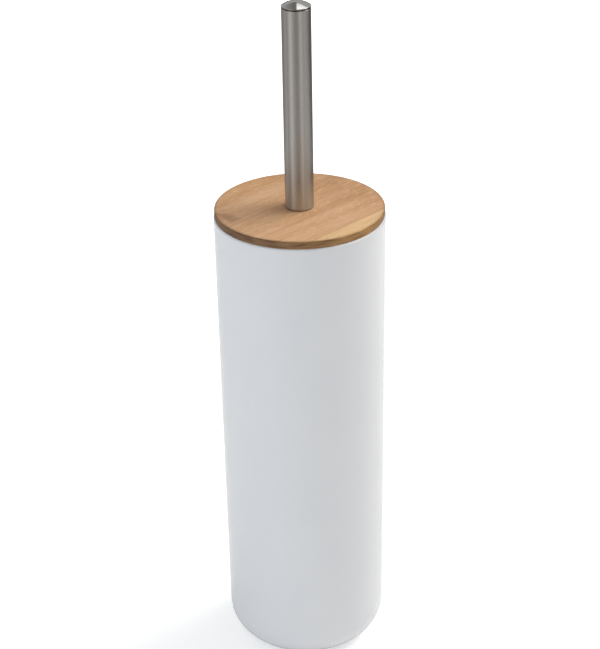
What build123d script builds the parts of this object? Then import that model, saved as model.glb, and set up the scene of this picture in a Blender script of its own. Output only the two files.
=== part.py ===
from build123d import *
from math import asin, cos, degrees, radians, sin, tan
import os

# Toilet brush set: a tall cup, a bamboo lid, and a brush that hangs from the lid.
# Millimetres, +Z up. The origin is on the floor, under the middle of the cup.

# Cup
rim_diameter = 96.0
rim_height = 278.0
cup_wall = 2.2
cup_draft = 0.25
base_thickness = 3.0
base_round = 20.0
rim_outer_round = 1.1
rim_inner_round = 0.4
gate_recess_diameter = 12.0
gate_recess_depth = 0.6
gate_nub_diameter = 3.0
gate_nub_height = 0.4

# Soft ring under the cup
foot_ring_inset = 3.0
foot_ring_width = 5.0
foot_groove_depth = 1.4
foot_proud = 0.6
foot_clearance = 0.05
foot_edge_chamfer = 0.4

# Bamboo disc on the rim
lid_inset = 0.5
lid_thickness = 4.5
lid_edge_round = 0.5
lid_hole_clearance = 0.5

# Moulded ring under the bamboo, with the hub that the brush turns in
plug_clearance = 0.5
plug_flange = 2.0
plug_round = 0.5
skirt_depth = 7.0
skirt_wall = 1.8
hub_wall = 7.0
hub_depth = 7.0
rib_count = 6
rib_width = 1.6
rib_depth = 3.0

# Screws that hold the ring to the bamboo
screw_count = 3
screw_diameter = 2.9
screw_head_diameter = 5.6
screw_head_height = 1.8
screw_cover = 1.2
screw_clearance = 0.05
screw_point = 0.7
screw_slot_length = 3.2
screw_slot_width = 0.7
screw_slot_depth = 1.0
boss_diameter = 9.0
boss_height = 1.0

# Handle above the lid
handle_diameter = 16.0
handle_wall = 0.8
handle_length = 114.2
handle_end_chamfer = 0.35
cap_bevel = 0.4
cap_band = 0.8
cap_rise = 2.5
cap_edge_round = 0.4
cap_spigot_length = 10.0
press_clearance = 0.03

# Threaded tie between handle and stem
handle_plug_length = 28.0
insert_seat_height = 9.0
insert_diameter = 9.0
insert_length = 12.0
insert_groove_width = 3.0
insert_groove_depth = 0.5
stud_diameter = 6.0
stud_clearance = 0.2
stud_overrun = 1.5
stud_chamfer = 0.6
thread_clearance = 0.05

# Spigot and collar that trap the lid, and the stem below them
spigot_diameter = 10.0
bearing_clearance = 0.08
lid_play = 0.3
collar_step = 4.0
collar_thickness = 3.0
tenon_length = 18.0
tenon_floor = 4.0
stem_diameter = 12.0
stem_wall = 0.7
fitting_round = 0.5

# Foot of the stem, with the coarse thread that the head screws on to
foot_collar_step = 2.0
foot_collar_thickness = 4.0
head_thread_diameter = 10.0
head_thread_length = 12.0
head_thread_clearance = 0.2
head_thread_end_room = 2.0
seal_thickness = 1.5
seal_clearance = 0.3

# Brush head
tip_clearance = 15.0
brush_clearance = 10.5
neck_length = 8.0
neck_round = 3.0
head_flange_thickness = 3.0
head_core_diameter = 18.0
bristle_sleeve_wall = 3.0
sleeve_clearance = 0.1
tip_disc_thickness = 5.0
tip_bristle_length = 24.0
strand_width = 1.0
strand_root = 1.4
tuft_half_width = 0.95
tuft_fan = 5.0
row_count = 8
row_pitch = 6.2
tufts_per_row = 12
lowest_row_tilt = -30.0
highest_row_tilt = 6.0
tip_rings = [
    {"count": 4, "edge_distance": 8.0, "tilt": 13.0},
    {"count": 9, "edge_distance": 3.0, "tilt": 38.0},
]

# Levels and radii of the cup
rim_radius = rim_diameter / 2
mouth_radius = rim_radius - cup_wall
cup_bottom = foot_proud
cup_floor = cup_bottom + base_thickness
cup_taper = tan(radians(cup_draft))
base_radius = rim_radius - (rim_height - cup_bottom) * cup_taper
floor_radius = mouth_radius - (rim_height - cup_floor) * cup_taper
floor_round = base_round - cup_wall
rim_outer_fillet = min(rim_outer_round, 0.6 * cup_wall)
rim_inner_fillet = min(rim_inner_round, 0.3 * cup_wall)
foot_ring_outer = base_radius - base_round - foot_ring_inset
foot_ring_inner = foot_ring_outer - foot_ring_width

# Levels and radii of the lid and its ring
lid_top = rim_height + lid_thickness
lid_radius = rim_radius - lid_inset
spigot_radius = spigot_diameter / 2
bearing_radius = spigot_radius + bearing_clearance
lid_hole_radius = spigot_radius + lid_hole_clearance
plug_radius = mouth_radius - plug_clearance - skirt_depth * cup_taper
skirt_inner = plug_radius - skirt_wall
hub_radius = spigot_radius + hub_wall
flange_bottom = rim_height - plug_flange
screw_circle = (hub_radius + skirt_inner) / 2
screw_seat = flange_bottom - boss_height
screw_radius = screw_diameter / 2
screw_tip = lid_top - screw_cover
screw_start_angle = 180 / rib_count

# Levels and radii of the handle
handle_radius = handle_diameter / 2
handle_bore = handle_radius - handle_wall
handle_top = lid_top + handle_length
cap_band_top = handle_top + cap_band
cap_top = cap_band_top + cap_rise
insert_bottom = lid_top + insert_seat_height
insert_top = insert_bottom + insert_length
stud_radius = stud_diameter / 2

# Levels and radii of the stem and its fittings
stem_radius = stem_diameter / 2
tenon_radius = stem_radius - stem_wall - press_clearance
collar_radius = max(spigot_radius, stem_radius) + collar_step
collar_top = rim_height - hub_depth - lid_play
collar_bottom = collar_top - collar_thickness
coupler_bottom = collar_bottom - tenon_length
stud_bottom = coupler_bottom + tenon_floor
stud_top = insert_top + stud_overrun

# Levels and radii of the head, counted up from the floor of the cup
tip_disc_bottom = cup_floor + tip_clearance + tip_bristle_length
barrel_bottom = tip_disc_bottom + tip_disc_thickness
barrel_top = barrel_bottom + row_count * row_pitch
head_flange_top = barrel_top + head_flange_thickness
head_top = head_flange_top + neck_length
stem_foot_collar_bottom = head_top + seal_thickness
stem_bottom = stem_foot_collar_bottom + foot_collar_thickness
head_thread_radius = head_thread_diameter / 2
head_thread_end = stem_foot_collar_bottom - seal_thickness - head_thread_length
foot_collar_radius = max(stem_radius, head_thread_radius) + foot_collar_step
socket_radius = head_thread_radius + head_thread_clearance
socket_floor = head_thread_end - head_thread_end_room
head_core_radius = head_core_diameter / 2
sleeve_inner = head_core_radius + sleeve_clearance
sleeve_outer = sleeve_inner + bristle_sleeve_wall
brush_radius = mouth_radius - brush_clearance

os.makedirs("parts", exist_ok=True)


def finish(piece, name):
    """Label a finished piece and write it under its own name."""
    piece.part.label = name
    export_step(piece.part, f"parts/{name}.step")


def tuft_places(root, direction, side):
    """Four strands that leave one hole side by side and fan out from its direction."""
    rise = direction.cross(side)
    places = []
    for step_side in (-1, 1):
        for step_rise in (-1, 1):
            offset = side * step_side + rise * step_rise
            strand_start = root + offset * tuft_half_width
            strand_direction = direction + offset * tan(radians(tuft_fan))
            places.append(Plane(strand_start, x_dir=side, z_dir=strand_direction).location)
    return places


# Cup: one moulded wall, turned about its axis, with the groove for the foot ring
with BuildPart() as holder_cup:
    with BuildSketch(Plane.XZ):
        with BuildLine():
            cup_line = FilletPolyline(
                (0, cup_bottom),
                (base_radius, cup_bottom),
                (rim_radius, rim_height),
                (mouth_radius, rim_height),
                (floor_radius, cup_floor),
                (0, cup_floor),
                radius=[base_round, rim_outer_fillet, rim_inner_fillet, floor_round],
            )
            Line(cup_line @ 1, cup_line @ 0)
        make_face()
    revolve(axis=Axis.Z)
    with BuildSketch(Plane.XY.offset(cup_bottom)):
        Circle(foot_ring_outer + foot_clearance)
        Circle(foot_ring_inner - foot_clearance, mode=Mode.SUBTRACT)
    extrude(amount=foot_groove_depth, mode=Mode.SUBTRACT)
    with BuildSketch(Plane.XY.offset(cup_bottom)):
        Circle(gate_recess_diameter / 2)
    extrude(amount=gate_recess_depth, mode=Mode.SUBTRACT)
    with BuildSketch(Plane.XY.offset(cup_bottom + gate_recess_depth)):
        Circle(gate_nub_diameter / 2)
    extrude(amount=-gate_nub_height)
finish(holder_cup, "holder_cup")

# Soft ring that the cup stands on
with BuildPart() as foot_ring:
    with BuildSketch(Plane.XY):
        Circle(foot_ring_outer)
        Circle(foot_ring_inner, mode=Mode.SUBTRACT)
    extrude(amount=foot_proud + foot_groove_depth)
    chamfer(foot_ring.edges().group_by(Axis.Z)[0], foot_edge_chamfer)
finish(foot_ring, "foot_ring")

# Bamboo disc, with a clear hole for the spigot and blind pilot holes for the screws
with BuildPart() as lid_disc:
    with BuildSketch(Plane.XY.offset(rim_height)):
        Circle(lid_radius)
        Circle(lid_hole_radius, mode=Mode.SUBTRACT)
    extrude(amount=lid_thickness)
    lid_edges = lid_disc.edges().filter_by(GeomType.CIRCLE).group_by(SortBy.RADIUS)[-1]
    fillet(lid_edges, lid_edge_round)
    with BuildSketch(Plane.XY.offset(rim_height)):
        with PolarLocations(screw_circle, screw_count, start_angle=screw_start_angle):
            Circle(screw_radius + screw_clearance)
    extrude(amount=screw_tip - rim_height, mode=Mode.SUBTRACT)
finish(lid_disc, "lid_disc")

# Moulded ring under the bamboo: flange, skirt and hub turned, ribs and bosses added
with BuildPart() as lid_plug:
    with BuildSketch(Plane.XZ):
        with BuildLine():
            FilletPolyline(
                (bearing_radius, rim_height),
                (plug_radius, rim_height),
                (plug_radius, rim_height - skirt_depth),
                (skirt_inner, rim_height - skirt_depth),
                (skirt_inner, flange_bottom),
                (hub_radius, flange_bottom),
                (hub_radius, rim_height - hub_depth),
                (bearing_radius, rim_height - hub_depth),
                radius=[0, 0, plug_round, plug_round, plug_round, plug_round, plug_round, 0],
                close=True,
            )
        make_face()
    revolve(axis=Axis.Z)
    with BuildSketch(Plane.XY.offset(flange_bottom)):
        with PolarLocations((hub_radius + skirt_inner) / 2, rib_count):
            Rectangle(skirt_inner - hub_radius + skirt_wall, rib_width)
    extrude(amount=-rib_depth)
    with BuildSketch(Plane.XY.offset(flange_bottom)):
        with PolarLocations(screw_circle, screw_count, start_angle=screw_start_angle):
            Circle(boss_diameter / 2)
    extrude(amount=-boss_height)
    with BuildSketch(Plane.XY.offset(screw_seat)):
        with PolarLocations(screw_circle, screw_count, start_angle=screw_start_angle):
            Circle(screw_radius + screw_clearance)
    extrude(amount=rim_height - screw_seat, mode=Mode.SUBTRACT)
finish(lid_plug, "lid_plug")

# One pan-head screw on the axis, then a copy of it at each boss
with BuildPart() as screw:
    with BuildSketch(Plane.XY.offset(screw_seat)):
        Circle(screw_radius)
    extrude(amount=screw_tip - screw_seat)
    chamfer(screw.edges().group_by(Axis.Z)[-1], screw_point)
    with BuildSketch(Plane.XY.offset(screw_seat)):
        Circle(screw_head_diameter / 2)
    extrude(amount=-screw_head_height)
    fillet(screw.edges().group_by(Axis.Z)[0], screw_head_height / 2)
    with BuildSketch(Plane.XY.offset(screw_seat - screw_head_height)):
        Rectangle(screw_slot_length, screw_slot_width)
        Rectangle(screw_slot_width, screw_slot_length)
    extrude(amount=screw_slot_depth, mode=Mode.SUBTRACT)

with BuildPart() as lid_screws:
    with PolarLocations(screw_circle, screw_count, start_angle=screw_start_angle):
        add(screw.part)
finish(lid_screws, "lid_screws")

# Steel tube of the handle, with its ends deburred
with BuildPart() as handle_tube:
    with BuildSketch(Plane.XY.offset(lid_top)):
        Circle(handle_radius)
        Circle(handle_bore, mode=Mode.SUBTRACT)
    extrude(amount=handle_length)
    tube_edges = handle_tube.edges().filter_by(GeomType.CIRCLE).group_by(SortBy.RADIUS)[-1]
    chamfer(tube_edges, min(handle_end_chamfer, 0.6 * handle_wall))
finish(handle_tube, "handle_tube")

# Domed cap on the tube, on a spigot that is pressed into it
with BuildPart() as handle_cap:
    dome_radius = (handle_radius**2 + cap_rise**2) / (2 * cap_rise)
    dome_angle = degrees(asin(handle_radius / dome_radius))
    with BuildSketch(Plane.XZ):
        with BuildLine():
            cap_line = Polyline(
                (0, handle_top - cap_spigot_length),
                (handle_bore - press_clearance, handle_top - cap_spigot_length),
                (handle_bore - press_clearance, handle_top),
                (handle_radius - cap_bevel, handle_top),
                (handle_radius, handle_top + cap_bevel),
                (handle_radius, cap_band_top),
            )
            CenterArc((0, cap_top - dome_radius), dome_radius, 90 - dome_angle, dome_angle)
            Line((0, cap_top), cap_line @ 0)
        make_face()
        fillet(vertices().group_by(Axis.X)[-1].sort_by(Axis.Y)[-1], cap_edge_round)
    revolve(axis=Axis.Z)
finish(handle_cap, "handle_cap")

# Nylon plug in the foot of the handle, open above for the brass insert
with BuildPart() as handle_plug:
    with BuildSketch(Plane.XY.offset(lid_top)):
        Circle(handle_bore - press_clearance)
        Circle(stud_radius + stud_clearance, mode=Mode.SUBTRACT)
    extrude(amount=handle_plug_length)
    with BuildSketch(Plane.XY.offset(insert_bottom)):
        Circle(insert_diameter / 2 + press_clearance)
    extrude(amount=handle_plug_length - insert_seat_height, mode=Mode.SUBTRACT)
finish(handle_plug, "handle_plug")

# Brass insert, with a waist between its two gripping bands
with BuildPart() as thread_insert:
    with BuildSketch(Plane.XY.offset(insert_bottom)):
        Circle(insert_diameter / 2)
        Circle(stud_radius + thread_clearance, mode=Mode.SUBTRACT)
    extrude(amount=insert_length)
    with BuildSketch(Plane.XY.offset((insert_bottom + insert_top - insert_groove_width) / 2)):
        Circle(insert_diameter / 2)
        Circle(insert_diameter / 2 - insert_groove_depth, mode=Mode.SUBTRACT)
    extrude(amount=insert_groove_width, mode=Mode.SUBTRACT)
finish(thread_insert, "thread_insert")

# Stud that ties the handle to the stem through the lid
with BuildPart() as tie_stud:
    with BuildSketch(Plane.XY.offset(stud_bottom)):
        Circle(stud_radius)
    extrude(amount=stud_top - stud_bottom)
    chamfer(tie_stud.edges().filter_by(GeomType.CIRCLE), stud_chamfer)
finish(tie_stud, "tie_stud")

# Spigot that the lid turns on, the collar under it and the tenon in the stem
with BuildPart() as stem_coupler:
    with BuildSketch(Plane.XZ):
        with BuildLine():
            FilletPolyline(
                (0, coupler_bottom),
                (tenon_radius, coupler_bottom),
                (tenon_radius, collar_bottom),
                (collar_radius, collar_bottom),
                (collar_radius, collar_top),
                (spigot_radius, collar_top),
                (spigot_radius, lid_top),
                (0, lid_top),
                radius=[0, fitting_round, 0, fitting_round, fitting_round, 0, 0, 0],
                close=True,
            )
        make_face()
    revolve(axis=Axis.Z)
    with BuildSketch(Plane.XY.offset(stud_bottom)):
        Circle(stud_radius + thread_clearance)
    extrude(amount=lid_top - stud_bottom, mode=Mode.SUBTRACT)
finish(stem_coupler, "stem_coupler")

# Thin steel tube of the stem
with BuildPart() as stem_tube:
    with BuildSketch(Plane.XY.offset(stem_bottom)):
        Circle(stem_radius)
        Circle(stem_radius - stem_wall, mode=Mode.SUBTRACT)
    extrude(amount=collar_bottom - stem_bottom)
finish(stem_tube, "stem_tube")

# Lower end of the stem: tenon, collar and the plain core of the coarse thread
with BuildPart() as stem_foot:
    with BuildSketch(Plane.XZ):
        with BuildLine():
            FilletPolyline(
                (0, head_thread_end),
                (head_thread_radius, head_thread_end),
                (head_thread_radius, stem_foot_collar_bottom),
                (foot_collar_radius, stem_foot_collar_bottom),
                (foot_collar_radius, stem_bottom),
                (tenon_radius, stem_bottom),
                (tenon_radius, stem_bottom + tenon_length),
                (0, stem_bottom + tenon_length),
                radius=[0, fitting_round, 0, fitting_round, fitting_round, 0, fitting_round, 0],
                close=True,
            )
        make_face()
    revolve(axis=Axis.Z)
finish(stem_foot, "stem_foot")

# Rubber washer between the stem's foot and the head
with BuildPart() as head_seal:
    with BuildSketch(Plane.XY.offset(head_top)):
        Circle(foot_collar_radius)
        Circle(head_thread_radius + seal_clearance, mode=Mode.SUBTRACT)
    extrude(amount=seal_thickness)
finish(head_seal, "head_seal")

# Body of the head: neck with its socket, flange and the core inside the bristles
with BuildPart() as head_core:
    with BuildSketch(Plane.XZ):
        with BuildLine():
            FilletPolyline(
                (0, barrel_bottom),
                (head_core_radius, barrel_bottom),
                (head_core_radius, barrel_top),
                (sleeve_outer, barrel_top),
                (sleeve_outer, head_flange_top),
                (foot_collar_radius, head_flange_top),
                (foot_collar_radius, head_top),
                (0, head_top),
                radius=[0, 0, 0, 0, fitting_round, neck_round, fitting_round, 0],
                close=True,
            )
        make_face()
    revolve(axis=Axis.Z)
    with BuildSketch(Plane.XY.offset(socket_floor)):
        Circle(socket_radius)
    extrude(amount=head_top - socket_floor, mode=Mode.SUBTRACT)
finish(head_core, "head_core")

# Side bristles: rows of tufts round a sleeve, leaning further down row by row
barrel_places = []
for row in range(row_count):
    row_height = barrel_bottom + (row + 0.5) * row_pitch
    row_share = row / (row_count - 1)
    row_tilt = radians(lowest_row_tilt + row_share * (highest_row_tilt - lowest_row_tilt))
    for tuft in range(tufts_per_row):
        turn = radians((tuft + 0.5 * (row % 2)) * 360 / tufts_per_row)
        outward = Vector(cos(turn), sin(turn), 0)
        tuft_root = outward * (sleeve_outer - strand_root) + Vector(0, 0, row_height)
        tuft_direction = outward * cos(row_tilt) + Vector(0, 0, sin(row_tilt))
        tuft_side = Vector(-sin(turn), cos(turn), 0)
        barrel_places += tuft_places(tuft_root, tuft_direction, tuft_side)

with BuildPart() as bristle_barrel:
    with BuildSketch(Plane.XY.offset(barrel_bottom)):
        Circle(sleeve_outer)
        Circle(sleeve_inner, mode=Mode.SUBTRACT)
    extrude(amount=barrel_top - barrel_bottom)
    with Locations(*barrel_places):
        Box(
            strand_width,
            strand_width,
            brush_radius - sleeve_outer + strand_root,
            align=(Align.CENTER, Align.CENTER, Align.MIN),
        )
finish(bristle_barrel, "bristle_barrel")

# End bristles: rings of tufts on a disc under the core, the outer ring leaning out
tip_places = []
for ring in tip_rings:
    ring_radius = sleeve_outer - ring["edge_distance"]
    ring_tilt = radians(ring["tilt"])
    for tuft in range(ring["count"]):
        turn = radians(tuft * 360 / ring["count"])
        outward = Vector(cos(turn), sin(turn), 0)
        tuft_root = outward * ring_radius + Vector(0, 0, tip_disc_bottom + strand_root)
        tuft_direction = outward * sin(ring_tilt) - Vector(0, 0, cos(ring_tilt))
        tuft_side = Vector(-sin(turn), cos(turn), 0)
        tip_places += tuft_places(tuft_root, tuft_direction, tuft_side)

with BuildPart() as bristle_tip:
    with BuildSketch(Plane.XY.offset(tip_disc_bottom)):
        Circle(sleeve_outer)
    extrude(amount=tip_disc_thickness)
    with Locations(*tip_places):
        Box(
            strand_width,
            strand_width,
            tip_bristle_length + strand_root,
            align=(Align.CENTER, Align.CENTER, Align.MIN),
        )
finish(bristle_tip, "bristle_tip")

print("bristle strands:", len(barrel_places) + len(tip_places))
print("overall height:", cap_top)
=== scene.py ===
# %% [markdown]
# # A toilet brush set with a bamboo lid, in Blender
#
# The real thing is a tall white plastic cup, a bamboo lid that lies flush on its rim, and a
# satin steel handle with a low polished cap. The brush hangs inside the closed cup and lifts
# out with the lid. The CAD model gives every rigid piece at its true size, so this lesson
# spends its time on what CAD doesn't hold: finishes, thousands of bristle filaments, the
# thread on the stem, the light and the camera.

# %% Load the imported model
import random
from math import cos, pi, radians, sin, tan

import bmesh
import bpy
from mathutils import Matrix, Vector


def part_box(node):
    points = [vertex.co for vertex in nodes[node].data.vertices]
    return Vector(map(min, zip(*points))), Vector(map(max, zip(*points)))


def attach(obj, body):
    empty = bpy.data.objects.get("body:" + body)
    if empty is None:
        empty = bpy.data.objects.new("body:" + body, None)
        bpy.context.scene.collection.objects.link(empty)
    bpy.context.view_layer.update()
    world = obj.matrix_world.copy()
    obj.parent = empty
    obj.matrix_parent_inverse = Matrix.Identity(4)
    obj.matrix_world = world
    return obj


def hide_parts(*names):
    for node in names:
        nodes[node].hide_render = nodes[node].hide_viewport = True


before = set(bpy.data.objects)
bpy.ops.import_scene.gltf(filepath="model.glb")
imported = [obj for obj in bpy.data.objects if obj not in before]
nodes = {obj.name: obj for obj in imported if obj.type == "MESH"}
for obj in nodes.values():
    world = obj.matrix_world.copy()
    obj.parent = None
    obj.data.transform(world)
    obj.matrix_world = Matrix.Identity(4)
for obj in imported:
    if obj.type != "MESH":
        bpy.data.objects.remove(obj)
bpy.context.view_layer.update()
mm = 0.001
print("nodes from the CAD model:", len(nodes))

# %% [markdown]
# ## The camera
#
# The photograph is a portrait frame of 600 by 649 pixels, taken from above the lid with a
# long lens. The camera could be placed by eye, but the round rim, the tube and the base
# give enough edges to work it out: the lens, the distance, and the angles below are the ones
# at which all these edges fall where the photograph has them, within a pixel.

# %% Camera
image_height = 649
focal_pixels = 1789.1
camera_distance = 995.643 * mm
camera_elevation = radians(23.7635)
camera_pitch = radians(27.5554)
camera_yaw = radians(-0.0608)
camera_roll = radians(1.0589)
lid_top = 282.5 * mm

camera_place = Vector((
    0,
    -camera_distance * cos(camera_elevation),
    lid_top + camera_distance * sin(camera_elevation),
))
forward = Vector((
    sin(camera_yaw) * cos(camera_pitch),
    cos(camera_yaw) * cos(camera_pitch),
    -sin(camera_pitch),
))
level_right = Vector((cos(camera_yaw), -sin(camera_yaw), 0))
level_down = forward.cross(level_right)
right = cos(camera_roll) * level_right + sin(camera_roll) * level_down
down = cos(camera_roll) * level_down - sin(camera_roll) * level_right

camera_data = bpy.data.cameras.new("camera")
camera_data.sensor_width = 36.0
camera_data.lens = focal_pixels / image_height * camera_data.sensor_width
camera = bpy.data.objects.new("camera", camera_data)
bpy.context.scene.collection.objects.link(camera)
turn_to_world = Matrix((right, -down, -forward)).transposed().to_4x4()
camera.matrix_world = Matrix.Translation(camera_place) @ turn_to_world
bpy.context.scene.camera = camera
print("lens in millimetres:", round(camera_data.lens, 2))

# %% [markdown]
# ## Tools for the finishes
#
# Colours are written as sRGB hex values, as a designer would note them, and Cycles works in
# linear light, so one function translates. A second one adds a node to a material with its
# settings, its values and its links. The nodes that every finish needs again and again get
# short functions of their own, so that a finish reads as a list of what it is made of.

# %% Helpers for materials
# The colour mix node has sockets of the same name for each kind of data, so they go by number
MIX_FACTOR, MIX_A, MIX_B, MIX_RESULT = 0, 6, 7, 2


def linear(hex_colour):
    """An sRGB hex colour as linear red, green, blue and alpha."""
    channels = []
    for start in (1, 3, 5):
        value = int(hex_colour[start:start + 2], 16) / 255
        if value <= 0.04045:
            channels.append(value / 12.92)
        else:
            channels.append(((value + 0.055) / 1.055) ** 2.4)
    return (*channels, 1.0)


def add_node(tree, kind, values=None, **settings):
    """Add a node. Settings are its own options; values are numbers or links by input."""
    node = tree.nodes.new(kind)
    for name, setting in settings.items():
        setattr(node, name, setting)
    for socket, value in (values or {}).items():
        if isinstance(value, bpy.types.NodeSocket):
            tree.links.new(value, node.inputs[socket])
        else:
            node.inputs[socket].default_value = value
    return node


def mix_tones(tree, factor, first, second, blend="MIX"):
    """The mix of two colours, each a value or a link."""
    node = add_node(tree, "ShaderNodeMix", {
        MIX_FACTOR: factor,
        MIX_A: first,
        MIX_B: second,
    }, data_type="RGBA", blend_type=blend)
    return node.outputs[MIX_RESULT]


def remap(tree, value, span=(0.0, 1.0), to=(0.0, 1.0)):
    """A value moved from one span of numbers to another, and held inside it."""
    node = add_node(tree, "ShaderNodeMapRange", {
        "Value": value,
        "From Min": span[0],
        "From Max": span[1],
        "To Min": to[0],
        "To Max": to[1],
    })
    return node.outputs["Result"]


def stretched_noise(tree, vector, size, detail, roughness=0.5):
    """Noise with features of about this size along each axis, in the vector's own unit."""
    stretch = add_node(tree, "ShaderNodeMapping", {
        "Vector": vector,
        "Scale": tuple(1 / length for length in size),
    })
    noise = add_node(tree, "ShaderNodeTexNoise", {
        "Vector": stretch.outputs["Vector"],
        "Scale": 1.0,
        "Detail": detail,
        "Roughness": roughness,
    })
    return noise.outputs["Fac"]


def calculate(tree, operation, *values):
    """The result of one operation on numbers or links."""
    node = add_node(tree, "ShaderNodeMath", dict(enumerate(values)), operation=operation)
    return node.outputs["Value"]


def axis_distance(tree, vector):
    """How far a place is from the Z axis."""
    flat = add_node(tree, "ShaderNodeVectorMath", {0: vector, 1: (1, 1, 0)}, operation="MULTIPLY")
    length = add_node(tree, "ShaderNodeVectorMath", {0: flat.outputs["Vector"]}, operation="LENGTH")
    return length.outputs["Value"]


def new_finish(name):
    """A material with its node tree, its shader and the Object coordinates."""
    finish = bpy.data.materials.new(name)
    finish.use_nodes = True
    tree = finish.node_tree
    shader = tree.nodes["Principled BSDF"]
    place = add_node(tree, "ShaderNodeTexCoord")
    return finish, tree, shader, place


def set_ramp(ramp_node, stops, interpolation="LINEAR"):
    """Give a colour ramp its stops: pairs of a position and a hex colour."""
    ramp = ramp_node.color_ramp
    ramp.interpolation = interpolation
    while len(ramp.elements) > 1:
        ramp.elements.remove(ramp.elements[-1])
    ramp.elements[0].position = stops[0][0]
    ramp.elements[0].color = linear(stops[0][1])
    for position, colour in stops[1:]:
        element = ramp.elements.new(position)
        element.color = linear(colour)


def per_metre(millimetres):
    """The noise scale whose features are about this many millimetres across."""
    return 1000 / millimetres


def dress(finish, *names):
    """Give CAD nodes their finish."""
    for name in names:
        mesh = nodes[name].data
        mesh.materials.clear()
        mesh.materials.append(finish)
    print("dressed", ", ".join(names), "in", finish.name)


# %% [markdown]
# ## The cup: glossy moulded polypropylene
#
# Polypropylene comes out of a polished mould with a clear gloss, but the wall sinks a little
# as it cools, so reflections are never quite straight. A flat white would look like paper.
# Two noises as bump give a slow sway of the wall and a faint orange peel, and the roughness
# drifts a little, as it does where hands have touched the cup.

# %% Cup finish
cup_finish, tree, shader, place = new_finish("polypropylene_moulded_glossy_white")
sway = add_node(tree, "ShaderNodeTexNoise", {
    "Vector": place.outputs["Object"],
    "Scale": per_metre(45),
    "Detail": 1.0,
})
peel = add_node(tree, "ShaderNodeTexNoise", {
    "Vector": place.outputs["Object"],
    "Scale": per_metre(2.5),
    "Detail": 2.0,
})
cup_white = mix_tones(tree, sway.outputs["Fac"], linear("#E4E6E9"), linear("#EAEBEC"))
gloss = remap(tree, sway.outputs["Fac"], to=(0.10, 0.18))
sway_bump = add_node(tree, "ShaderNodeBump", {
    "Height": sway.outputs["Fac"],
    "Distance": 0.12 * mm,
    "Strength": 0.5,
})
peel_bump = add_node(tree, "ShaderNodeBump", {
    "Height": peel.outputs["Fac"],
    "Distance": 0.004 * mm,
    "Strength": 0.5,
    "Normal": sway_bump.outputs["Normal"],
})
tree.links.new(cup_white, shader.inputs["Base Color"])
tree.links.new(gloss, shader.inputs["Roughness"])
tree.links.new(peel_bump.outputs["Normal"], shader.inputs["Normal"])
shader.inputs["IOR"].default_value = 1.49
dress(cup_finish, "holder_cup")

# %% [markdown]
# ## The lid: laminated bamboo, oiled, with a scorched edge
#
# A bamboo board is glued up from flat strips about 23 mm wide. Each strip has its own tone,
# long pale fibres, short dark and pale dashes where the sap ran, and here and there a node,
# the ring of the cane. The whole board darkens a little toward one end. The disc was cut with
# heat, so its edge is brown: darker where the fibres end, more golden where they run along
# it. A band of painted shade darkens the top along the rounded rim. A picture texture
# could carry all this, but it would stretch on the edge, so the pattern is worked out in
# millimetres from the place in the board itself.

# %% Bamboo finish: the strips
# Lengths of the bamboo's pattern are in millimetres
grain_angle = radians(45.8)
strip_width = 23.1
first_seam = 8.9
seam_core = 0.1
seam_edge = 0.5
seam_strength = 0.3
board_half = 48.0
board_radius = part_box("lid_disc")[1][0] / mm
strip_tones = [
    # share of the board's width from the front right, tone from there on
    (0.0, "#EAC596"),
    (0.110, "#DAAF86"),
    (0.352, "#D9AE85"),
    (0.593, "#D4AA84"),
    (0.833, "#D0A57B"),
]

bamboo_finish, tree, shader, place = new_finish("bamboo_laminated_oiled")
grain = add_node(tree, "ShaderNodeMapping", {
    "Vector": place.outputs["Object"],
    "Rotation": (0, 0, -grain_angle),
    "Scale": (1 / mm, 1 / mm, 1 / mm),
})
along_across = add_node(tree, "ShaderNodeSeparateXYZ", {"Vector": grain.outputs["Vector"]})
along = along_across.outputs["X"]
across = along_across.outputs["Y"]
board_share = remap(tree, across, (-board_half, board_half))
strips = add_node(tree, "ShaderNodeValToRGB", {"Fac": board_share})
set_ramp(strips, strip_tones, "CONSTANT")
past_seam = calculate(tree, "SUBTRACT", across, first_seam)
seam_distance = calculate(tree, "PINGPONG", past_seam, strip_width / 2)
seam = remap(tree, seam_distance, (seam_core, seam_edge), (seam_strength, 0.0))
print("bamboo strips of", strip_width, "mm:", len(strip_tones))

# %% Bamboo finish: fibres, dashes and the node
fibre_size = (50, 1.4, 1.4)
streak_size = (70, 7.0, 7.0)
dash_size = (4.5, 0.7, 0.7)
dark_dash_strength = 0.32
pale_dash_strength = 0.45

fibres = stretched_noise(tree, grain.outputs["Vector"], fibre_size, 4.0, 0.6)
streaks = stretched_noise(tree, grain.outputs["Vector"], streak_size, 2.0)
dash_noise = stretched_noise(tree, grain.outputs["Vector"], dash_size, 1.0)
dashes = remap(tree, dash_noise, (0.60, 0.70), (0.0, dark_dash_strength))
fibre_tone = add_node(tree, "ShaderNodeValToRGB", {"Fac": fibres})
set_ramp(fibre_tone, [(0.25, "#F2EDE7"), (0.6, "#FFFFFF")])
streak_tone = add_node(tree, "ShaderNodeValToRGB", {"Fac": streaks})
set_ramp(streak_tone, [(0.32, "#F3EBE2"), (0.62, "#FFFFFF")])
board_length_share = remap(tree, along, (-board_half, board_half))
drift_tone = add_node(tree, "ShaderNodeValToRGB", {"Fac": board_length_share})
set_ramp(drift_tone, [(0.58, "#FFFFFF"), (0.88, "#EDE8E0")])
drifted_strips = mix_tones(
    tree, 1.0, strips.outputs["Color"], drift_tone.outputs["Color"], "MULTIPLY")
with_fibres = mix_tones(tree, 1.0, drifted_strips, fibre_tone.outputs["Color"], "MULTIPLY")
with_streaks = mix_tones(tree, 1.0, with_fibres, streak_tone.outputs["Color"], "MULTIPLY")
with_dashes = mix_tones(tree, dashes, with_streaks, linear("#A87C55"))
pale_dashes = remap(tree, dash_noise, (0.40, 0.31), (0.0, pale_dash_strength))
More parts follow.
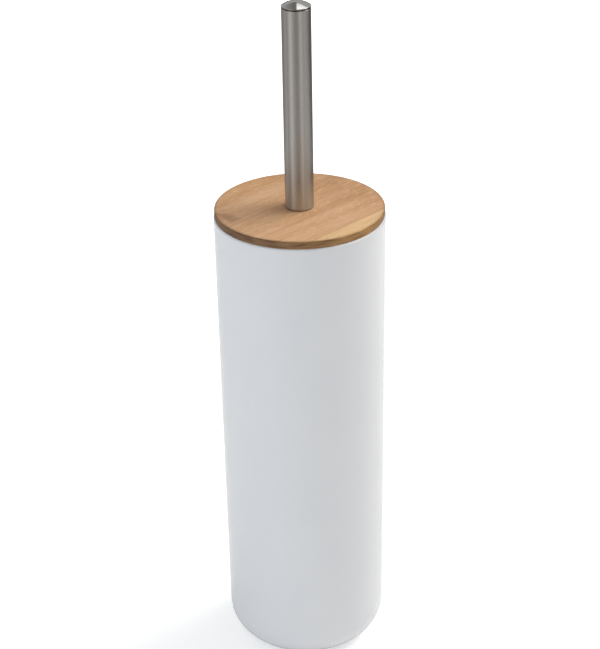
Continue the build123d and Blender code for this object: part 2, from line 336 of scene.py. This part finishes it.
with_pale_dashes = mix_tones(tree, pale_dashes, with_dashes, linear("#EACA9C"))
with_seams = mix_tones(tree, seam, with_pale_dashes, linear("#8A6443"))

# The node of the cane: a soft bowed band across one strip, with fine freckles in it
node_along = -38.0
node_across = 20.5
node_sway = 9.0
node_half = 5.5
node_fade = 5.0
freckle_size = (2.6, 0.7, 0.7)
node_place = add_node(tree, "ShaderNodeMapping", {
    "Vector": grain.outputs["Vector"],
    "Location": (-node_along, -node_across, 0),
})
node_wobble = add_node(tree, "ShaderNodeTexNoise", {
    "Vector": grain.outputs["Vector"],
    "Scale": 0.16,
    "Detail": 3.0,
})
node_parts = add_node(tree, "ShaderNodeSeparateXYZ", {"Vector": node_place.outputs["Vector"]})
node_shift = calculate(
    tree, "MULTIPLY_ADD", node_wobble.outputs["Fac"], node_sway, node_parts.outputs["X"])
node_from_line = calculate(tree, "SUBTRACT", node_shift, node_sway / 2)
node_off_line = calculate(tree, "ABSOLUTE", node_from_line)
node_band = remap(tree, node_off_line, (0.5, node_half), (1.0, 0.0))
node_side = calculate(tree, "ABSOLUTE", node_parts.outputs["Y"])
node_reach = remap(tree, node_side, (strip_width / 2 - node_fade, strip_width / 2), (1.0, 0.0))
freckle_noise = stretched_noise(tree, grain.outputs["Vector"], freckle_size, 2.0)
freckles = remap(tree, freckle_noise, (0.40, 0.68), (0.25, 0.80))
node_mask = calculate(tree, "MULTIPLY", node_band, node_reach)
node_tone = calculate(tree, "MULTIPLY", node_mask, freckles)
bamboo_face = mix_tones(tree, node_tone, with_seams, linear("#7E5C3F"))
print("cane node", node_along, "mm along and", node_across, "mm across the board")

# %% Bamboo finish: the scorched edge, painted shade along the rim, the oil and the feel
layer_size = (9.0, 9.0, 0.9)
# Strength of the painted shade along the rim of the top
painted_rim_shade_strength = 0.5

from_axis = axis_distance(tree, grain.outputs["Vector"])
on_edge = remap(tree, from_axis, (board_radius - 0.4, board_radius - 0.1))
toward_end = calculate(tree, "DIVIDE", along, from_axis)
end_grain = calculate(tree, "ABSOLUTE", toward_end)
edge_tone = mix_tones(tree, end_grain, linear("#C0945E"), linear("#836348"))
layers = stretched_noise(tree, grain.outputs["Vector"], layer_size, 3.0)
layer_tone = add_node(tree, "ShaderNodeValToRGB", {"Fac": layers})
set_ramp(layer_tone, [(0.3, "#BDB5AE"), (0.6, "#FFFFFF")])
edge_layers = mix_tones(tree, 1.0, edge_tone, layer_tone.outputs["Color"], "MULTIPLY")
# Painted shade: the top darkens over its last millimetres toward the rounded rim
painted_rim_shade = remap(tree, from_axis, (board_radius - 1.7, board_radius - 0.3), (0.0, painted_rim_shade_strength))
# The brown edge colour and the painted shade along the rim, whichever is stronger
brown_edge_and_rim_shade = calculate(tree, "MAXIMUM", on_edge, painted_rim_shade)
bamboo_colour = mix_tones(tree, brown_edge_and_rim_shade, bamboo_face, edge_layers)
bamboo_rough = remap(tree, fibres, to=(0.46, 0.64))
bamboo_bump = add_node(tree, "ShaderNodeBump", {
    "Height": fibres,
    "Distance": 0.06 * mm,
    "Strength": 0.6,
})
tree.links.new(bamboo_colour, shader.inputs["Base Color"])
tree.links.new(bamboo_rough, shader.inputs["Roughness"])
tree.links.new(bamboo_bump.outputs["Normal"], shader.inputs["Normal"])
shader.inputs["IOR"].default_value = 1.45
shader.inputs["Specular IOR Level"].default_value = 0.25
print("finish for the lid board:", bamboo_finish.name)

# %% [markdown]
# ## The handle and the stem: satin stainless tube
#
# The tube was turned against a fine belt, so its scratches run round it and every light in
# the room smears into a band up the tube. An anisotropic shader gives that smear without
# drawing single scratches. The rings that are drawn are much coarser than the real grit,
# which would be far finer than a pixel. Where the tube stands on the wood, a thin brown line
# of painted contact shadow darkens its foot.

# %% Satin steel finish
tube_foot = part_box("handle_tube")[0][2]
tube_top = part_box("handle_tube")[1][2]
# Painted shade: a dark line in the groove under the cap, on the tube and the cap alike
painted_groove_shade = linear("#35322F")
# Painted shade: a brown contact shadow where the tube stands on the wood
painted_foot_shade = linear("#53351B")

satin_finish, tree, shader, place = new_finish("stainless_steel_satin_belt_ground")
rings = stretched_noise(tree, place.outputs["Object"], (40 * mm, 40 * mm, 0.5 * mm), 3.0)
ring_rough = remap(tree, rings, to=(0.28, 0.32))
steel_tone = mix_tones(tree, rings, linear("#BEBAB4"), linear("#C3BFBA"))
tube_height = add_node(tree, "ShaderNodeSeparateXYZ", {"Vector": place.outputs["Object"]})
# Painted shade in the groove at the top of the tube
in_groove = remap(tree, tube_height.outputs["Z"], (tube_top - 0.4 * mm, tube_top - 0.1 * mm))
tube_tone = mix_tones(tree, in_groove, steel_tone, painted_groove_shade)
# The foot of the tube gets a thin line of painted contact shadow
above_foot = calculate(tree, "SUBTRACT", tube_height.outputs["Z"], tube_foot)
from_foot = calculate(tree, "ABSOLUTE", above_foot)
foot_line = remap(tree, from_foot, (0.3 * mm, 0.9 * mm), (0.75, 0.0))
footed_tone = mix_tones(tree, foot_line, tube_tone, painted_foot_shade)
ring_bump = add_node(tree, "ShaderNodeBump", {
    "Height": rings,
    "Distance": 0.003 * mm,
    "Strength": 0.3,
})
round_tube = add_node(tree, "ShaderNodeTangent", direction_type="RADIAL", axis="Z")
tree.links.new(footed_tone, shader.inputs["Base Color"])
tree.links.new(ring_rough, shader.inputs["Roughness"])
tree.links.new(ring_bump.outputs["Normal"], shader.inputs["Normal"])
tree.links.new(round_tube.outputs["Tangent"], shader.inputs["Tangent"])
shader.inputs["Metallic"].default_value = 1.0
shader.inputs["Anisotropic"].default_value = 1.0
shader.inputs["Anisotropic Rotation"].default_value = 0.25
dress(satin_finish, "handle_tube", "stem_tube")

# %% [markdown]
# ## The cap: polished stainless steel
#
# The dome is pressed and then polished on a turning buff, so it mirrors the studio, with
# faint rings round its middle. The same shader as the tube, with far less roughness. Where
# the cap meets the tube, the groove is darkened with painted shade, on both pieces.

# %% Polished steel finish
polish_finish, tree, shader, place = new_finish("stainless_steel_polished")
buff_rings = add_node(tree, "ShaderNodeTexNoise", {
    "W": axis_distance(tree, place.outputs["Object"]),
    "Scale": per_metre(0.6),
    "Detail": 2.0,
}, noise_dimensions="1D")
buff_rough = remap(tree, buff_rings.outputs["Fac"], to=(0.08, 0.16))
buff_bump = add_node(tree, "ShaderNodeBump", {
    "Height": buff_rings.outputs["Fac"],
    "Distance": 0.003 * mm,
    "Strength": 0.4,
})
cap_height = add_node(tree, "ShaderNodeSeparateXYZ", {"Vector": place.outputs["Object"]})
# Painted shade in the groove at the foot of the cap
out_of_groove = remap(tree, cap_height.outputs["Z"], (tube_top + 0.15 * mm, tube_top + 0.45 * mm))
cap_tone = mix_tones(tree, out_of_groove, painted_groove_shade, linear("#B2AFAC"))
tree.links.new(cap_tone, shader.inputs["Base Color"])
shader.inputs["Metallic"].default_value = 1.0
tree.links.new(buff_rough, shader.inputs["Roughness"])
tree.links.new(buff_bump.outputs["Normal"], shader.inputs["Normal"])
dress(polish_finish, "handle_cap")

# %% [markdown]
# ## The small fittings
#
# These show only when the brush is lifted out or the cup is turned over: moulded ring and
# head, nylon turned parts, zinc-plated screws, a brass nut, a grey foot and a black washer.
# Each has one colour and a grain that comes from how it was made, so a single loop gives each
# its two close tones, its grain size and its roughness.

# %% Finishes of the fittings
fittings = [
    # name, tones, grain in millimetres, roughness range, metallic, IOR, relief, nodes
    ("polypropylene_moulded_matt_white", ("#E4E4E1", "#EDEDEA"), 0.5, (0.34, 0.46), 0.0, 1.49,
     0.010, ("lid_plug", "head_core")),
    ("polyamide_turned_natural", ("#DDD6C4", "#E8E2D2"), 0.8, (0.30, 0.42), 0.0, 1.53,
     0.008, ("handle_plug", "stem_coupler")),
    ("steel_zinc_plated", ("#A9ACAF", "#BFC1C3"), 0.6, (0.22, 0.36), 1.0, 1.5,
     0.004, ("lid_screws", "tie_stud")),
    ("brass_turned", ("#B8924A", "#C9A55E"), 0.5, (0.22, 0.34), 1.0, 1.5,
     0.006, ("thread_insert",)),
    ("thermoplastic_rubber_soft_grey", ("#A2A4A5", "#B0B2B3"), 0.7, (0.55, 0.70), 0.0, 1.50,
     0.020, ("foot_ring",)),
    ("nitrile_rubber_black", ("#1E1E20", "#2A2A2C"), 0.6, (0.45, 0.60), 0.0, 1.52,
     0.015, ("head_seal",)),
]
fitting_finish = {}
for name, tones, grain_mm, rough, metallic, ior, relief, dressed in fittings:
    finish, tree, shader, place = new_finish(name)
    speckle = add_node(tree, "ShaderNodeTexNoise", {
        "Vector": place.outputs["Object"],
        "Scale": per_metre(grain_mm),
        "Detail": 3.0,
    })
    cloud = add_node(tree, "ShaderNodeTexNoise", {
        "Vector": place.outputs["Object"],
        "Scale": per_metre(14),
        "Detail": 1.0,
    })
    tone = mix_tones(tree, cloud.outputs["Fac"], linear(tones[0]), linear(tones[1]))
    feel = remap(tree, speckle.outputs["Fac"], to=rough)
    texture = add_node(tree, "ShaderNodeBump", {
        "Height": speckle.outputs["Fac"],
        "Distance": relief * mm,
        "Strength": 0.6,
    })
    tree.links.new(tone, shader.inputs["Base Color"])
    tree.links.new(feel, shader.inputs["Roughness"])
    tree.links.new(texture.outputs["Normal"], shader.inputs["Normal"])
    shader.inputs["Metallic"].default_value = metallic
    if not metallic:
        shader.inputs["IOR"].default_value = ior
    dress(finish, *dressed)
    fitting_finish[name] = finish

# %% [markdown]
# ## The bristles
#
# The CAD model has a few square strands in each hole, which is enough for its collisions. A
# real tuft holds about fifty round nylon filaments, folded over and stapled into its hole,
# that spread a little and were trimmed with shears. A hair system would be quick to comb,
# but it leaves no mesh to keep, so a filament is modelled once, some tufts are made of it,
# and the tufts are set into the holes of the head.

# %% A filament and a tuft
# Lengths are in millimetres
filament_width = 0.42
filament_sections = 4
filament_sides = 3
tuft_hole = 1.35
filaments_per_tuft = 46
lean_spread = 0.035
curl_spread = 0.06
shortest_trim = 0.94
draw = random.Random(7)


def new_piece(name, bm, finish, body, slot, *replaced):
    """Turn a bmesh in metres into a piece that rides on a body and stands for CAD nodes."""
    mesh = bpy.data.meshes.new(name)
    for face in bm.faces:
        face.smooth = True
    bm.to_mesh(mesh)
    bm.free()
    mesh.materials.append(finish)
    piece = bpy.data.objects.new(name, mesh)
    bpy.context.scene.collection.objects.link(piece)
    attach(piece, body)
    if replaced:
        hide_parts(*replaced)
    print("made", name, "with", len(mesh.polygons), "faces")


def make_filament(length):
    """One straight filament of this length that stands on the origin, with a trimmed end."""
    bm = bmesh.new()
    bmesh.ops.create_cone(
        bm, cap_ends=True, segments=filament_sides, radius1=filament_width / 2 * mm,
        radius2=filament_width / 2 * mm, depth=length * mm,
        matrix=Matrix.Translation((0, 0, length / 2 * mm)))
    for section in range(1, filament_sections):
        bmesh.ops.bisect_plane(
            bm, geom=bm.verts[:] + bm.edges[:] + bm.faces[:],
            plane_co=(0, 0, length * section / filament_sections * mm), plane_no=(0, 0, 1))
    mesh = bpy.data.meshes.new("filament")
    bm.to_mesh(mesh)
    bm.free()
    return mesh


def make_tuft(length, spread):
    """A tuft of filaments that stands on the origin and opens by this many degrees."""
    bm = bmesh.new()
    filament = make_filament(length)
    corners = len(filament.vertices)
    for _ in range(filaments_per_tuft):
        distance = tuft_hole * draw.random() ** 0.5
        angle = draw.uniform(0, 2 * pi)
        root = Vector((distance * cos(angle), distance * sin(angle), 0)) * mm
        lean = Vector((cos(angle), sin(angle), 0)) * tan(radians(spread)) * distance / tuft_hole
        lean += Vector((draw.gauss(0, lean_spread), draw.gauss(0, lean_spread), 0))
        curl = Vector((draw.gauss(0, curl_spread), draw.gauss(0, curl_spread), 0))
        trim = draw.uniform(shortest_trim, 1.0)
        bm.from_mesh(filament)
        bm.verts.ensure_lookup_table()
        for corner in bm.verts[-corners:]:
            height = corner.co.z * trim
            share = height / (length * mm)
            corner.co.z = height
            corner.co += root + lean * height + curl * height * share
    mesh = bpy.data.meshes.new("tuft")
    bm.to_mesh(mesh)
    bm.free()
    bpy.data.meshes.remove(filament)
    return mesh


print("filaments in a tuft:", filaments_per_tuft)

# %% Bristle finish
bristle_finish, tree, shader, place = new_finish("polyamide_filament_white")
shade = add_node(tree, "ShaderNodeTexNoise", {
    "Vector": place.outputs["Object"],
    "Scale": per_metre(3.0),
    "Detail": 2.0,
})
bristle_tone = mix_tones(tree, shade.outputs["Fac"], linear("#EFF0F0"), linear("#FAFAF8"))
bristle_rough = remap(tree, shade.outputs["Fac"], to=(0.30, 0.45))
tree.links.new(bristle_tone, shader.inputs["Base Color"])
tree.links.new(bristle_rough, shader.inputs["Roughness"])
shader.inputs["IOR"].default_value = 1.53
print("finish for the filaments:", bristle_finish.name)

# %% The tufts in their holes
# Lengths are in millimetres and angles in degrees
barrel_bottom = 47.6
sleeve_inner = 9.1
sleeve_outer = 12.1
tip_disc_bottom = 42.6
tuft_depth = 1.4
brush_radius = 35.3
row_count = 8
row_pitch = 6.2
tufts_per_row = 12
lowest_row_tilt = -30.0
highest_row_tilt = 6.0
tip_length = 24.0
tip_rings = [
    # tufts, ring radius in millimetres, tilt in degrees
    (4, 4.1, 13.0),
    (9, 9.1, 38.0),
]
barrel_tuft_kinds = 5
barrel_tuft_spread = 9.0
tip_tuft_kinds = 3
tip_tuft_spread = 10.0


def plant(bm, tuft, root, direction, side):
    """Set a copy of a tuft into the bmesh, its foot at root and its length along direction."""
    along = direction.normalized()
    across = side.normalized()
    stand = Matrix((across, along.cross(across), along)).transposed().to_4x4()
    copy = tuft.copy()
    copy.transform(Matrix.Translation(root * mm) @ stand)
    bm.from_mesh(copy)
    bpy.data.meshes.remove(copy)


barrel_length = brush_radius - sleeve_outer + tuft_depth
barrel_tufts = [make_tuft(barrel_length, barrel_tuft_spread) for _ in range(barrel_tuft_kinds)]
barrel = bmesh.new()
for row in range(row_count):
    height = barrel_bottom + (row + 0.5) * row_pitch
    share = row / (row_count - 1)
    tilt = radians(lowest_row_tilt + share * (highest_row_tilt - lowest_row_tilt))
    for place_in_row in range(tufts_per_row):
        turn = radians((place_in_row + 0.5 * (row % 2)) * 360 / tufts_per_row)
        outward = Vector((cos(turn), sin(turn), 0))
        side = Vector((-sin(turn), cos(turn), 0))
        root = outward * (sleeve_outer - tuft_depth) + Vector((0, 0, height))
        direction = outward * cos(tilt) + Vector((0, 0, sin(tilt)))
        plant(barrel, draw.choice(barrel_tufts), root, direction, side)
new_piece("bristle_filaments_side", barrel, bristle_finish, "head", "bristle", "bristle_barrel")

tip_tufts = [make_tuft(tip_length + tuft_depth, tip_tuft_spread) for _ in range(tip_tuft_kinds)]
tip = bmesh.new()
for count, ring_radius, tilt in tip_rings:
    for place_in_ring in range(count):
        turn = radians(place_in_ring * 360 / count)
        outward = Vector((cos(turn), sin(turn), 0))
        side = Vector((-sin(turn), cos(turn), 0))
        root = outward * ring_radius + Vector((0, 0, tip_disc_bottom + tuft_depth))
        direction = outward * sin(radians(tilt)) - Vector((0, 0, cos(radians(tilt))))
        plant(tip, draw.choice(tip_tufts), root, direction, side)
new_piece("bristle_filaments_end", tip, bristle_finish, "head", "bristle", "bristle_tip")

# %% [markdown]
# ## The sleeve and the disc that hold the tufts
#
# The tufts are stapled into a moulded sleeve and an end disc. Their outlines are simple
# turned shapes, so a few points are spun once round the axis and the sharp rims bevelled.

# %% Turned holders of the tufts
turn_steps = 96
sleeve_rim = 0.4
disc_rim = 0.8


def spin_outline(points, steps=turn_steps):
    """A bmesh in metres of an outline in millimetres (radius, height) spun round the Z axis.

    An outline that starts and ends on the axis is left open there, and closes by the spin.
    """
    bm = bmesh.new()
    corners = [bm.verts.new((radius * mm, 0, height * mm)) for radius, height in points]
    for first, second in zip(corners, corners[1:]):
        bm.edges.new((first, second))
    if points[0][0] > 0:
        bm.edges.new((corners[-1], corners[0]))
    bmesh.ops.spin(
        bm, geom=bm.verts[:] + bm.edges[:], cent=(0, 0, 0), axis=(0, 0, 1), dvec=(0, 0, 0),
        angle=2 * pi, steps=steps, use_merge=True, use_duplicate=False)
    bmesh.ops.remove_doubles(bm, verts=bm.verts[:], dist=0.001 * mm)
    bmesh.ops.recalc_face_normals(bm, faces=bm.faces[:])
    return bm


def soften_rims(bm, width, least_turn=25):
    """Bevel every edge of a turned shape that turns more sharply than this many degrees."""
    sharp = [edge for edge in bm.edges if edge.calc_face_angle(0) > radians(least_turn)]
    bmesh.ops.bevel(
        bm, geom=sharp, offset=width * mm, affect="EDGES", segments=3, profile=0.5,
        material=-1, offset_type="OFFSET", clamp_overlap=True)


moulded_white = fitting_finish["polypropylene_moulded_matt_white"]
sleeve = spin_outline([
    (sleeve_inner, barrel_bottom),
    (sleeve_outer, barrel_bottom),
    (sleeve_outer, barrel_bottom + row_count * row_pitch),
    (sleeve_inner, barrel_bottom + row_count * row_pitch),
])
soften_rims(sleeve, sleeve_rim)
new_piece("tuft_sleeve", sleeve, moulded_white, "head", "bristle", "bristle_barrel")
disc = spin_outline([
    (0, tip_disc_bottom),
    (sleeve_outer, tip_disc_bottom),
    (sleeve_outer, barrel_bottom),
    (0, barrel_bottom),
])
soften_rims(disc, disc_rim)
new_piece("tuft_disc", disc, moulded_white, "head", "bristle", "bristle_tip")

# %% [markdown]
# ## The lid board, turned again with an even edge
#
# The CAD lid has the right shape, but its mesh runs unevenly round the small rounded edge,
# and a scorched edge shows every step of that. The same two functions turn it again, with
# more steps. Smooth shading would bend the flat faces too, so a ring close to each rim holds
# them flat. The screws bite into the wood, so their holes need no drawing.

# %% Lid board
lid_low, lid_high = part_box("lid_disc")
lid_bottom = lid_low[2] / mm
lid_upper = lid_high[2] / mm
lid_hole = 5.5
lid_edge_round = 0.5
lid_steps = 240
hold = 1.0
board = spin_outline([
    (lid_hole, lid_bottom),
    (board_radius - hold, lid_bottom),
    (board_radius, lid_bottom),
    (board_radius, lid_bottom + hold),
    (board_radius, lid_upper - hold),
    (board_radius, lid_upper),
    (board_radius - hold, lid_upper),
    (lid_hole, lid_upper),
], steps=lid_steps)
soften_rims(board, lid_edge_round)
new_piece("lid_board", board, bamboo_finish, "lid", "bamboo", "lid_disc")
print("lid board of radius", round(board_radius, 2), "mm from", round(lid_bottom, 2), "mm up")

# %% [markdown]
# ## The coarse thread on the foot of the stem
#
# The head screws on to a nylon foot. The CAD model has the thread's plain core, because its
# joint already knows the pitch. When the head is unscrewed the thread shows, so here it is
# real: a ridge whose profile is spun round the axis while it climbs, which is what the spin
# operator's step vector is for. One turn climbs 3 mm, the drop of the joint, to the right.

# %% Threaded foot of the stem
# Lengths are in millimetres
thread_pitch = 3.0
thread_core = 4.1
thread_crest = 4.95
thread_end = 96.2
foot_collar_bottom = 109.7
foot_collar_top = 113.7
foot_collar_radius = 8.0
tenon_radius = 5.27
tenon_top = 131.7
foot_rim = 0.5
thread_lead = 0.4
thread_turns = 3.75
thread_sink = 0.2
thread_profile = [
    # radius in millimetres, share of the pitch
    (thread_core - thread_sink, 0),
    (thread_crest, 0.28),
    (thread_crest, 0.46),
    (thread_core - thread_sink, 0.74),
]


def wind_thread(bm, profile, pitch, bottom, turns, steps_per_turn=36):
    """Wind a right-hand thread ridge of this pitch round the Z axis, with closed ends."""
    corners = [
        bm.verts.new((radius * mm, 0, (bottom + share * pitch) * mm))
        for radius, share in profile
    ]
    edges = [
        bm.edges.new(pair) for pair in zip(corners, corners[1:] + corners[:1])
    ]
    bmesh.ops.spin(
        bm, geom=corners + edges, cent=(0, 0, 0), axis=(0, 0, 1),
        dvec=(0, 0, pitch / steps_per_turn * mm), angle=2 * pi * turns,
        steps=int(steps_per_turn * turns), use_merge=False, use_duplicate=False)
    open_ends = [edge for edge in bm.edges if edge.is_boundary]
    bmesh.ops.holes_fill(bm, edges=open_ends, sides=4)
    bmesh.ops.recalc_face_normals(bm, faces=bm.faces[:])


foot = spin_outline([
    (0, thread_end),
    (thread_core, thread_end),
    (thread_core, foot_collar_bottom),
    (foot_collar_radius, foot_collar_bottom),
    (foot_collar_radius, foot_collar_top),
    (tenon_radius, foot_collar_top),
    (tenon_radius, tenon_top),
    (0, tenon_top),
])
soften_rims(foot, foot_rim)
wind_thread(foot, thread_profile, thread_pitch, thread_end + thread_lead, thread_turns)
turned_nylon = fitting_finish["polyamide_turned_natural"]
new_piece("stem_foot_threaded", foot, turned_nylon, "brush", "nylon", "stem_foot")

# %% [markdown]
# ## The studio
#
# The photograph has a white ground and soft light from the right that throws the handle's
# shadow to the left across the lid. A big softbox on the right is the key, a cooler one on
# the left fills, and the white surroundings do the rest. The steel shows grey bands, because
# beyond the white table the room is darker, so a screen that only reflections see stands
# round the table, with brighter and darker fields as such a room has. The cap looks up, so a
# grey ceiling and a bright panel overhead finish the room, and only reflections see them too.

# %% Floor
# Lengths of the studio are in metres
floor_half = 12.0
glow_start = 0.3
glow_end = 2.0
floor_glow_near = 0.4
floor_glow_far = 1.0
floor_glow_mirrored = 0.05

scene = bpy.context.scene
scene.view_settings.view_transform = "Standard"
floor_mesh = bpy.data.meshes.new("floor")
floor_bm = bmesh.new()
bmesh.ops.create_grid(floor_bm, x_segments=1, y_segments=1, size=floor_half)
floor_bm.to_mesh(floor_mesh)
floor_bm.free()
floor = bpy.data.objects.new("floor", floor_mesh)
scene.collection.objects.link(floor)

floor_finish, tree, shader, place = new_finish("white_table")
shader.inputs["Base Color"].default_value = linear("#FAFAFA")
shader.inputs["Roughness"].default_value = 0.6
seen = add_node(tree, "ShaderNodeLightPath")
seen_through = calculate(
    tree, "MAXIMUM", seen.outputs["Is Camera Ray"], seen.outputs["Is Transmission Ray"])
mirrored_lift = calculate(tree, "MULTIPLY", seen.outputs["Is Glossy Ray"], floor_glow_mirrored)
from_object = add_node(tree, "ShaderNodeVectorMath", {
    0: place.outputs["Object"],
}, operation="LENGTH")
fade_to_white = remap(
    tree, from_object.outputs["Value"],
    (glow_start, glow_end), (floor_glow_near, floor_glow_far))
floor_lift = calculate(tree, "MULTIPLY_ADD", seen_through, fade_to_white, mirrored_lift)
shader.inputs["Emission Color"].default_value = linear("#FFFFFF")
tree.links.new(floor_lift, shader.inputs["Emission Strength"])
from_below = add_node(tree, "ShaderNodeNewGeometry")
clear = add_node(tree, "ShaderNodeBsdfTransparent")
table_or_clear = add_node(tree, "ShaderNodeMixShader", {
    0: from_below.outputs["Backfacing"],
    1: shader.outputs["BSDF"],
    2: clear.outputs["BSDF"],
})
table_surface = tree.nodes["Material Output"].inputs["Surface"]
tree.links.new(table_or_clear.outputs["Shader"], table_surface)
floor_mesh.materials.append(floor_finish)
print("floor in", floor_finish.name)

# %% White surroundings
light_from_world = 0.435
world_as_seen = 1.0

world = bpy.data.worlds.new("white_surroundings")
scene.world = world
world.use_nodes = True
tree = world.node_tree
seen = add_node(tree, "ShaderNodeLightPath")
seen_directly = calculate(
    tree, "MAXIMUM", seen.outputs["Is Camera Ray"], seen.outputs["Is Glossy Ray"])
seen_at_all = calculate(tree, "MAXIMUM", seen_directly, seen.outputs["Is Transmission Ray"])
world_level = remap(tree, seen_at_all, to=(light_from_world, world_as_seen))
background = tree.nodes["Background"]
background.inputs["Color"].default_value = linear("#FFFFFF")
tree.links.new(world_level, background.inputs["Strength"])
print("light from the surroundings:", light_from_world)

# %% Softboxes
softboxes = [
    # name, place, aim, width, height, power, colour
    ("key_right", (1.31, 0.56, 2.09), (0, 0, 0.25), 1.44, 2.24, 40.0, "#FFFDFA"),
    ("fill_left", (-1.3, -1.1, 0.55), (0, 0, 0.1), 1.1, 0.9, 6.6, "#EAF4FF"),
]
for name, spot, aim, width, height, power, colour in softboxes:
    lamp_data = bpy.data.lights.new(name, "AREA")
    lamp_data.shape = "RECTANGLE"
    lamp_data.size = width
    lamp_data.size_y = height
    lamp_data.energy = power
    lamp_data.color = linear(colour)[:3]
    lamp = bpy.data.objects.new(name, lamp_data)
    scene.collection.objects.link(lamp)
    lamp.location = spot
    lamp.rotation_euler = (Vector(aim) - Vector(spot)).to_track_quat("-Z", "Y").to_euler()
    print("softbox", name, power, "W")

# %% Screen that only reflections see
screen_radius = 0.42
screen_foot = 0.105
screen_top = 0.68
screen_glow = 1.15
upper_wall_start = 0.46
upper_wall_full = 0.50


def keep_for_reflections(piece):
    """Hide a piece of the studio from everything but reflections."""
    piece.visible_camera = False
    piece.visible_diffuse = False
    piece.visible_shadow = False
    piece.visible_transmission = False


def make_glowing(shader):
    """Make a surface that only gives light and mirrors nothing."""
    shader.inputs["Base Color"].default_value = linear("#000000")
    shader.inputs["Specular IOR Level"].default_value = 0.0


screen_bm = bmesh.new()
bmesh.ops.create_cone(
    screen_bm, cap_ends=False, segments=128, radius1=screen_radius, radius2=screen_radius,
    depth=screen_top - screen_foot,
    matrix=Matrix.Translation((0, 0, (screen_top + screen_foot) / 2)))
for face in screen_bm.faces:
    face.smooth = True
screen_mesh = bpy.data.meshes.new("reflection_screen")
screen_bm.to_mesh(screen_mesh)
screen_bm.free()
screen = bpy.data.objects.new("reflection_screen", screen_mesh)
scene.collection.objects.link(screen)
keep_for_reflections(screen)

screen_finish, tree, shader, place = new_finish("room_beyond_the_table")
screen_fields = [
    # bearing from the camera in degrees, to the right positive, and the grey seen there
    (-180, "#808080"), (-130, "#888888"), (-94, "#AAAAAA"), (-80, "#848484"),
    (-66, "#A0A0A0"), (-48, "#D6D6D6"), (-30, "#A2A2A2"), (-14, "#767676"), (4, "#585858"),
    (16, "#8A8A8A"), (31, "#C0C0C0"), (48, "#888888"), (66, "#8E8E8E"), (80, "#6C6C6C"),
    (98, "#383838"), (116, "#303030"), (150, "#7C7C7C"), (180, "#808080"),
]
bearing_parts = add_node(tree, "ShaderNodeSeparateXYZ", {"Vector": place.outputs["Object"]})
toward_camera = calculate(tree, "MULTIPLY", bearing_parts.outputs["Y"], -1.0)
bearing = calculate(tree, "ARCTAN2", bearing_parts.outputs["X"], toward_camera)
bearing_share = remap(tree, bearing, (-pi, pi))
fields = add_node(tree, "ShaderNodeValToRGB", {"Fac": bearing_share})
set_ramp(fields, [((angle + 180) / 360, grey) for angle, grey in screen_fields])
upper_wall = remap(tree, bearing_parts.outputs["Z"], (upper_wall_start, upper_wall_full))
wall_tone = mix_tones(tree, upper_wall, fields.outputs["Color"], linear("#C2C2C2"))
make_glowing(shader)
tree.links.new(wall_tone, shader.inputs["Emission Color"])
shader.inputs["Emission Strength"].default_value = screen_glow
screen_mesh.materials.append(screen_finish)
print("fields of the screen:", len(screen_fields))

# %% Ceiling and overhead panel that only reflections see
def hang_sheet(name, corners):
    """A flat sheet with these corners in metres that only reflections see."""
    bm = bmesh.new()
    bm.faces.new([bm.verts.new(corner) for corner in corners])
    mesh = bpy.data.meshes.new(name)
    bm.to_mesh(mesh)
    bm.free()
    sheet = bpy.data.objects.new(name, mesh)
    scene.collection.objects.link(sheet)
    keep_for_reflections(sheet)
    finish, tree, shader, place = new_finish(name)
    make_glowing(shader)
    mesh.materials.append(finish)
    return tree, shader, place


ceiling_half = 3.4
ceiling_height = 2.2
ceiling_fields_half = 1.4
ceiling_fields = [(0.0, "#C8C8C8"), (0.28, "#A4A4A4"), (0.48, "#868686"), (0.6, "#CCCCCC")]
tree, shader, place = hang_sheet("reflection_ceiling", [
    (-ceiling_half, -ceiling_half, ceiling_height),
    (ceiling_half, -ceiling_half, ceiling_height),
    (ceiling_half, ceiling_half, ceiling_height),
    (-ceiling_half, ceiling_half, ceiling_height),
])
ceiling_parts = add_node(tree, "ShaderNodeSeparateXYZ", {"Vector": place.outputs["Object"]})
ceiling_share = remap(
    tree, ceiling_parts.outputs["X"], (-ceiling_fields_half, ceiling_fields_half))
ceiling_tone = add_node(tree, "ShaderNodeValToRGB", {"Fac": ceiling_share})
set_ramp(ceiling_tone, ceiling_fields)
tree.links.new(ceiling_tone.outputs["Color"], shader.inputs["Emission Color"])
shader.inputs["Emission Strength"].default_value = 1.0

panel_height = 1.9
panel_front = 0.2
panel_back = 1.5
panel_glow_front = 2.3
panel_glow_back = 1.2
tree, shader, place = hang_sheet("reflection_panel", [
    (0.06, 0.03, panel_height),
    (0.45, 0.12, panel_height),
    (1.18, 1.10, panel_height),
    (0.60, 1.22, panel_height),
    (0.25, 1.55, panel_height),
    (0.06, 1.80, panel_height),
])
panel_parts = add_node(tree, "ShaderNodeSeparateXYZ", {"Vector": place.outputs["Object"]})
panel_glow = remap(
    tree, panel_parts.outputs["Y"],
    (panel_front, panel_back), (panel_glow_front, panel_glow_back))
shader.inputs["Emission Color"].default_value = linear("#FFFFFF")
tree.links.new(panel_glow, shader.inputs["Emission Strength"])
print("ceiling at", ceiling_height, "m, panel at", panel_height, "m")
